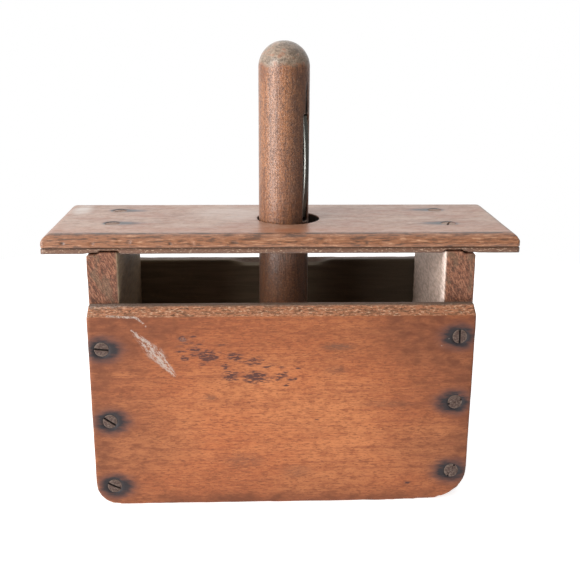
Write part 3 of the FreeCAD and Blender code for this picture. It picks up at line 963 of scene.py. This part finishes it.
def worn_edges(shader, base, bare, share):
    """Edges rubbed down to the bare wood, and dirt in the nooks."""
    texture = shader.noise((2.4, 2.4, 2.4), detail=4.0, shift=29.0)
    edge = shader.patchy(shader.mask("edge"), texture, 0.6)
    base = shader.tint(base, bare, shader.times(edge, share))
    return shader.cover(base, (42, 33, 28), "nook", 0.8)


def dark_inside(shader, base, tone):
    """Inner faces, darkened by butter fat and damp; the wall of the plate's hole is painted shade.
    """
    texture = shader.noise((30.0, 12.0, 2.5), detail=4.0, shift=31.0)
    dark = shader.fleck(tone, (40, 33, 27), texture, 0.35, 0.65, 0.25)
    return shader.tint(base, dark, shader.mask("inside"))


def panel_marks(shader, base):
    # dirt and bright flecks on the bevel
    grit = shader.noise((5.0, 1.2, 0.8), detail=5.0, roughness=0.7, shift=37.0)
    flecks = shader.noise((1.8, 0.8, 0.7), detail=3.0, shift=41.0)
    bevel = shader.fleck((168, 112, 80), (112, 80, 58), grit, 0.46, 0.58)
    bevel = shader.fleck(bevel, (206, 170, 140), flecks, 0.56, 0.66, 0.8)
    bevel = shader.fleck(bevel, (74, 52, 40), flecks, 0.45, 0.36, 0.85)
    base = shader.cover(base, bevel, "bevel", 0.85)
    base = worn_edges(shader, base, (176, 140, 116), 0.45)
    base = shader.cover(base, (84, 72, 62), "top_face", 0.8)
    base = iron_stain(shader, base)

    # ink soaked into the grain in short dashes
    dashes = shader.noise((3.4, 3.4, 0.75), detail=3.0, roughness=0.6, shift=43.0)
    ink = shader.times(shader.mask("ink"), shader.ramp(dashes, 0.42, 0.57, 0.1, 1.2))
    base = shader.fleck(base, (124, 74, 54), ink, 0.0, 0.25, 0.65)
    base = shader.fleck(base, (72, 45, 42), ink, 0.14, 0.62, 0.88)
    base = shader.cover(base, (104, 70, 54), "smudge", shader.ramp(dashes, 0.36, 0.56, 0.3, 1.0))

    # the scrape's scratches run down to the right
    chalky = shader.noise((2.6, 0.8, 0.8), detail=4.0, roughness=0.8, shift=47.0, tilt=-0.86)
    chalk = shader.times(shader.mask("chalk"), shader.ramp(chalky, 0.4, 0.6, 0.15, 1.0))
    base = shader.fleck(base, (176, 162, 152), chalk, 0.1, 0.9, 0.85)
    base = dark_inside(shader, base, (140, 124, 102))
    # painted shade on the back panel's inner face
    return shader.cover(base, (56, 46, 36), "soot", 0.75)


def end_board_marks(shader, base):
    # short torn streaks of the end grain
    torn = shader.noise((0.9, 6.0, 3.4), detail=3.0, roughness=0.65, shift=53.0, tilt=0.45)
    grime = shader.noise((7.0, 7.0, 12.0), detail=3.0, shift=57.0)
    end_grain = shader.fleck(base, (172, 122, 94), torn, 0.52, 0.62, 0.6)
    end_grain = shader.fleck(end_grain, (84, 56, 44), torn, 0.48, 0.38, 0.85)
    end_grain = shader.fleck(end_grain, (104, 86, 68), grime, 0.5, 0.64, 0.55)
    base = shader.tint(base, end_grain, shader.mask("end_grain"))
    base = worn_edges(shader, base, (170, 132, 110), 0.35)
    base = dark_inside(shader, base, (176, 152, 124))
    bare = shader.fleck((192, 172, 160), (236, 214, 202), torn, 0.4, 0.6)
    return shader.cover(base, bare, "bleached", 0.9)


def plate_marks(shader, base):
    # reddish and greyish patches where the varnish is worn through
    patches = shader.noise((22.0, 9.0, 9.0), detail=5.0, roughness=0.65, shift=63.0)
    base = shader.fleck(base, (150, 96, 68), patches, 0.5, 0.62, 0.65)
    base = shader.fleck(base, (188, 160, 142), patches, 0.46, 0.34, 0.45)
    base = shader.cover(base, (172, 108, 74), "warm", 0.5)
    base = shader.cover(base, (204, 190, 180), "scuff", shader.ramp(patches, 0.35, 0.6, 0.3, 1.0))
    base = iron_stain(shader, base)
    # painted shadow in the gaps round the plate screws
    base = shader.tint(base, (46, 36, 32), shader.mask("crescent"))

    # the moulded edge is handled: orange-brown, pale above and dirty below
    grit = shader.noise((9.0, 3.0, 1.0), detail=5.0, roughness=0.7, shift=59.0)
    side = shader.fleck((142, 94, 65), (84, 58, 44), grit, 0.5, 0.6)
    side = shader.fleck(side, (190, 144, 112), grit, 0.46, 0.36, 0.85)
    base = shader.cover(base, side, "side", 0.9)
    base = shader.cover(base, (66, 48, 38), "arris", shader.ramp(grit, 0.36, 0.56, 0.35, 1.0))
    base = worn_edges(shader, base, (166, 122, 94), 0.15)
    base = shader.cover(base, (66, 50, 41), "quirk", 0.8)
    base = shader.cover(base, (100, 70, 54), "lip", 0.8)
    specks = shader.noise((1.4, 1.4, 0.5), shift=61.0)
    base = shader.cover(base, (184, 156, 132), "lip", shader.ramp(specks, 0.57, 0.66, 0.0, 0.8))
    base = shader.cover(base, (84, 62, 50), "underside", 0.7)
    # the hole's wall is painted near black: painted shade in the hole
    return dark_inside(shader, base, (40, 32, 27))


def rod_marks(shader, base):
    grey = shader.noise((5.0, 5.0, 3.0), detail=4.0, shift=67.0)
    rough = shader.noise((1.2, 1.2, 1.0), detail=3.0, shift=69.0)
    dome = shader.fleck((146, 128, 110), (112, 98, 82), grey, 0.47, 0.6)
    dome = shader.fleck(dome, (160, 112, 86), grey, 0.46, 0.36, 0.8)
    dome = shader.fleck(dome, (186, 160, 140), rough, 0.54, 0.64, 0.45)
    dome = shader.fleck(dome, (84, 72, 60), rough, 0.46, 0.36, 0.45)
    base = shader.fleck(base, (96, 64, 48), rough, 0.5, 0.62, 0.5)
    base = shader.fleck(base, (178, 132, 100), rough, 0.47, 0.37, 0.22)
    base = shader.cover(base, dome, "dome", 0.9)
    base = worn_edges(shader, base, (176, 140, 116), 0.3)
    # painted shade in the slot and the kerf
    return shader.tint(base, (48, 38, 32), shader.mask("inside"))


# Bare or dry wood reflects little; wax and hands leave a shine.
DULL = {"Specular IOR Level": 0.28}
WAXED = {"Coat Weight": 0.3, "Coat Roughness": 0.3}
HANDLED = {"Coat Weight": 0.32, "Coat Roughness": 0.3, "Sheen Weight": 0.22, "Sheen Roughness": 0.3}


def panel_wood():
    return old_wood(
        "panel_wood",
        axis="X",
        tones=((172, 98, 58), (186, 116, 72), (138, 76, 48), (104, 60, 42), (108, 60, 38)),
        figure=0.45,
        pores=(2.6, 0.6, 0.55),
        roughness=(0.5, 0.62),
        bump=0.1,
        sockets=DULL,
        marks=panel_marks,
    )


def end_board_wood():
    return old_wood(
        "end_board_wood",
        axis="Y",
        tones=((122, 76, 56), (148, 98, 74), (92, 58, 46), (66, 44, 36), (84, 56, 46)),
        figure=0.6,
        pores=(5.0, 0.8, 0.6),
        roughness=(0.5, 0.66),
        bump=0.35,
        sockets=DULL,
        marks=end_board_marks,
    )


def plate_wood():
    return old_wood(
        "plate_wood",
        axis="X",
        tones=((160, 116, 90), (180, 142, 118), (128, 86, 64), (98, 68, 54), (110, 78, 62)),
        figure=0.55,
        pores=(4.0, 0.6, 0.35),
        roughness=(0.34, 0.46),
        bump=0.04,
        sockets=WAXED,
        marks=plate_marks,
    )


def rod_wood():
    return old_wood(
        "rod_wood",
        axis="Z",
        tones=((144, 92, 62), (166, 114, 80), (106, 70, 52), (72, 50, 40), (84, 60, 48)),
        figure=0.45,
        pores=(1.3, 0.8, 0.6),
        roughness=(0.28, 0.4),
        bump=0.3,
        sockets=HANDLED,
        marks=rod_marks,
    )


def follower_wood():
    return old_wood(
        "follower_wood",
        axis="X",
        tones=((150, 112, 84), (172, 136, 106), (112, 80, 60), (82, 60, 48), (96, 72, 56)),
        figure=0.5,
        pores=(4.0, 0.7, 0.5),
        roughness=(0.5, 0.62),
        bump=0.15,
        sockets=DULL,
    )


def screw_steel():
    shader = Shader("screw_steel")
    rust = shader.noise((1.1, 1.1, 1.1), detail=5.0, roughness=0.7, shift=71.0)
    pits = shader.noise((0.35, 0.35, 0.35), shift=73.0)
    base = shader.fleck((96, 78, 69), (74, 54, 47), rust, 0.42, 0.58)
    base = shader.fleck(base, (122, 108, 98), rust, 0.42, 0.34, 0.8)
    base = shader.fleck(base, (60, 46, 40), pits, 0.55, 0.75, 0.5)
    base = shader.cover(base, (140, 126, 112), "rim", 0.25)
    # painted sheen on the plate screws' heads
    base = shader.cover(base, (168, 140, 124), "polish", 0.75)
    # near black in the driver slots: dirt and painted shade
    base = shader.tint(base, (34, 26, 23), shader.mask("dirt"))
    gloss = shader.ramp(rust, 0.35, 0.65, 0.42, 0.7)
    return shader.finish(base, gloss, pits, 0.08, Metallic=0.35)


def spring_steel():
    shader = Shader("spring_steel")
    rub = shader.noise((0.5, 0.5, 14.0), detail=4.0, shift=79.0)
    tarnish = shader.noise((2.0, 2.0, 9.0), detail=4.0, shift=83.0)
    base = shader.fleck((92, 94, 86), (66, 66, 58), rub, 0.4, 0.65)
    base = shader.fleck(base, (72, 56, 46), tarnish, 0.5, 0.7, 0.7)
    # worn bright steel and a painted highlight on the strip's edges
    base = shader.cover(base, (214, 216, 208), "edge", 0.9)
    gloss = shader.ramp(tarnish, 0.3, 0.7, 0.28, 0.5)
    return shader.finish(base, gloss, rub, 0.03, Metallic=0.25)


def floor_paper():
    """White paper, lit from below as on a light table."""
    shader = Shader("floor_paper")
    tooth = shader.noise((4.0, 4.0, 4.0), detail=3.0)
    base = shader.tint((200, 200, 199), (192, 192, 192), tooth)
    glow = {"Emission Color": (1.0, 1.0, 1.0, 1.0), "Emission Strength": 0.8}
    return shader.finish(base, 0.9, tooth, 0.02, **glow)


# --- putting it together -----------------------------------------------------


def settle(piece, node, material):
    """Gives a piece its material and puts it in the place of its CAD node."""
    body = frame["nodes"][node]["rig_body"]
    piece.data.materials.clear()
    piece.data.materials.append(material)
    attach(piece, body)
    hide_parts(node)


def build_box():
    panel = panel_wood()
    settle(make_front_panel(), "front_panel", panel)
    settle(make_back_panel(), "back_panel", panel)
    board = end_board_wood()
    left = make_end_board("left_end_board", seed=51, grease=1.0, bleach=0.0)
    settle(left, "left_end_board", board)
    right = make_end_board("right_end_board", seed=61, grease=0.45, bleach=1.0)
    settle(right, "right_end_board", board)
    settle(make_plate(), "top_plate", plate_wood())


def build_plunger():
    settle(make_rod(), "plunger_rod", rod_wood())
    settle(make_follower(), "follower_board", follower_wood())


def build_screws():
    steel = screw_steel()
    pattern = slotted_screw()
    for number, node in enumerate(SLOT_TURNS):
        piece = make_screw(node, pattern, seed=200 + 10 * number)
        settle(piece, node, steel)
    bpy.data.meshes.remove(pattern)


def build_spring():
    settle(make_spring(), "bow_spring", spring_steel())


def build_floor():
    disc = bmesh.new()
    bmesh.ops.create_circle(disc, cap_ends=True, segments=96, radius=0.6)
    floor = piece_from(disc, "floor")
    floor.data.materials.append(floor_paper())


def area_light(name, place, target, size, power):
    light = bpy.data.lights.new(name, "AREA")
    light.shape = "RECTANGLE"
    light.size, light.size_y = size
    light.energy = power
    lamp = bpy.data.objects.new(name, light)
    bpy.context.scene.collection.objects.link(lamp)
    lamp.location = place
    direction = Vector(target) - Vector(place)
    lamp.rotation_euler = direction.to_track_quat("-Z", "Y").to_euler()
    lamp.visible_camera = False


def build_sky():
    """Light from all round, most from above and behind; the camera sees white."""
    brightest = Vector((-0.28, 0.55, 0.75)).normalized()
    strength = {"From Min": -0.1, "From Max": 1.0, "To Min": 0.16, "To Max": 1.2}
    world = bpy.data.worlds.new("studio")
    bpy.context.scene.world = world
    world.use_nodes = True
    nodes, links = world.node_tree.nodes, world.node_tree.links
    nodes.clear()
    towards = nodes.new("ShaderNodeVectorMath")
    towards.operation = "DOT_PRODUCT"
    towards.inputs[1].default_value = brightest
    links.new(nodes.new("ShaderNodeTexCoord").outputs["Generated"], towards.inputs[0])
    bright = nodes.new("ShaderNodeMapRange")
    bright.interpolation_type = "SMOOTHSTEP"
    for socket, value in strength.items():
        bright.inputs[socket].default_value = value
    links.new(towards.outputs["Value"], bright.inputs["Value"])
    sky = nodes.new("ShaderNodeBackground")
    paper = nodes.new("ShaderNodeBackground")
    for background in (sky, paper):
        background.inputs["Color"].default_value = (1.0, 1.0, 1.0, 1.0)
    links.new(bright.outputs[0], sky.inputs["Strength"])
    mix = nodes.new("ShaderNodeMixShader")
    links.new(nodes.new("ShaderNodeLightPath").outputs["Is Camera Ray"], mix.inputs[0])
    links.new(sky.outputs[0], mix.inputs[1])
    links.new(paper.outputs[0], mix.inputs[2])
    links.new(mix.outputs[0], nodes.new("ShaderNodeOutputWorld").inputs["Surface"])


def studio():
    """Soft light from the upper left and a bright paper backdrop behind."""
    build_sky()
    area_light(
        "key",
        place=(-1.1, -0.85, 0.45),
        target=(0.0, 0.0, 0.12),
        size=(1.0, 1.4),
        power=32.0,
    )
    bpy.context.scene.view_settings.view_transform = "Standard"


def camera():
    """A long lens a little left of the middle, looking down on the front."""
    place = Vector((-14.6, -523.9, 269.7)) * MM
    pitch, yaw, roll = (math.radians(angle) for angle in (16.62, 2.26, 0.33))
    data = bpy.data.cameras.new("camera")
    data.sensor_width = 36.0
    data.lens = 55.25
    eye = bpy.data.objects.new("camera", data)
    bpy.context.scene.collection.objects.link(eye)
    aim = Matrix.Rotation(-yaw, 4, "Z") @ Matrix.Rotation(math.radians(90.0) - pitch, 4, "X")
    aim = aim @ Matrix.Rotation(roll, 4, "Z")
    eye.matrix_world = Matrix.Translation(place) @ aim
    bpy.context.scene.camera = eye


camera()
studio()
build_floor()
build_box()
build_plunger()
build_screws()
build_spring()
